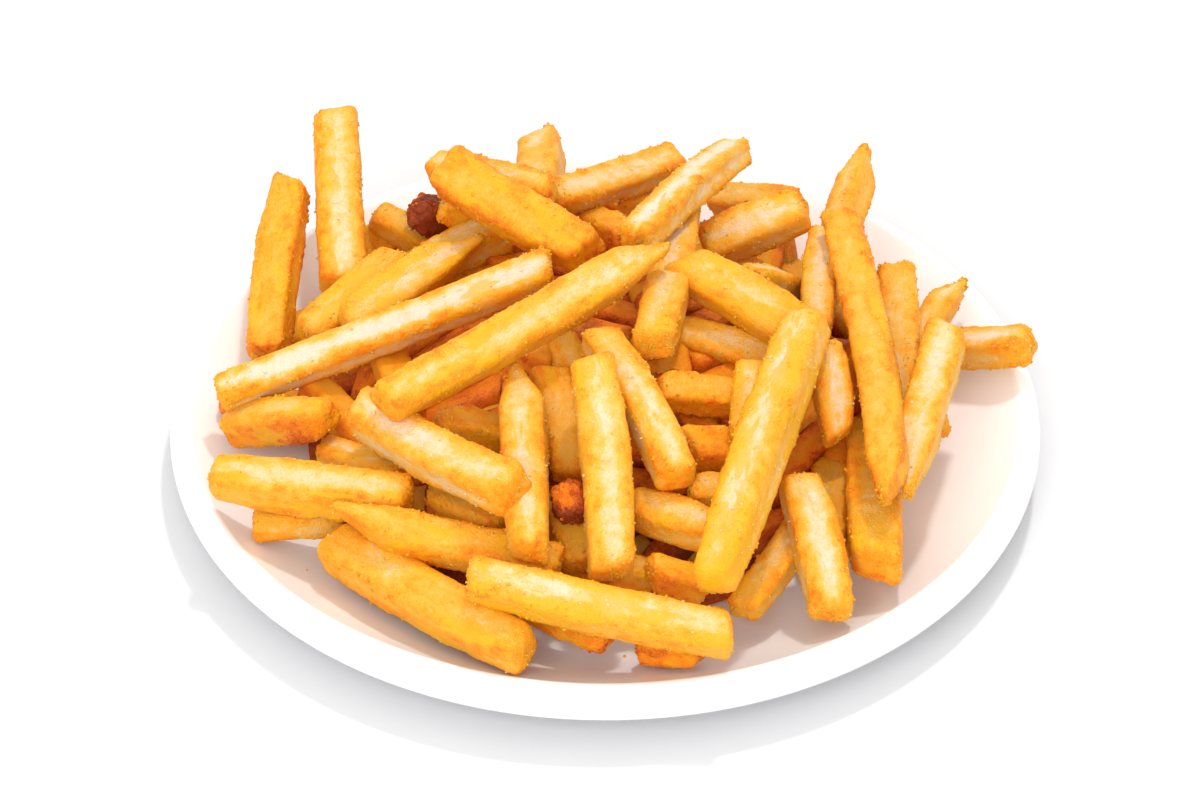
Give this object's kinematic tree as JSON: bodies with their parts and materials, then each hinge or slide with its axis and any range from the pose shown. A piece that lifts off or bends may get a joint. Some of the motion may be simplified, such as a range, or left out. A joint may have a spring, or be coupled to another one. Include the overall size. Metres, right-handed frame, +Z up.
{
  "type": "french fries portion on a plate",
  "caption": "Heap of straight-cut french fries on a round shallow white plate with a rolled rim and a foot ring.",
  "frame": {"origin": "on the plate's axis, at the level that its foot ring stands on", "axes": "+Z up along the plate's axis; the pictured side faces -Y, with its right at +X"},
  "size_m": [0.2028, 0.2028, 0.0602],
  "materials": {
    "plate_glaze": "smooth white glaze",
    "fried_potato": "golden fried crust, oily"
  },
  "bodies": {
    "root": {"plate": "plate_glaze", "fries_heap": "fried_potato"}
  },
  "joints": []
}
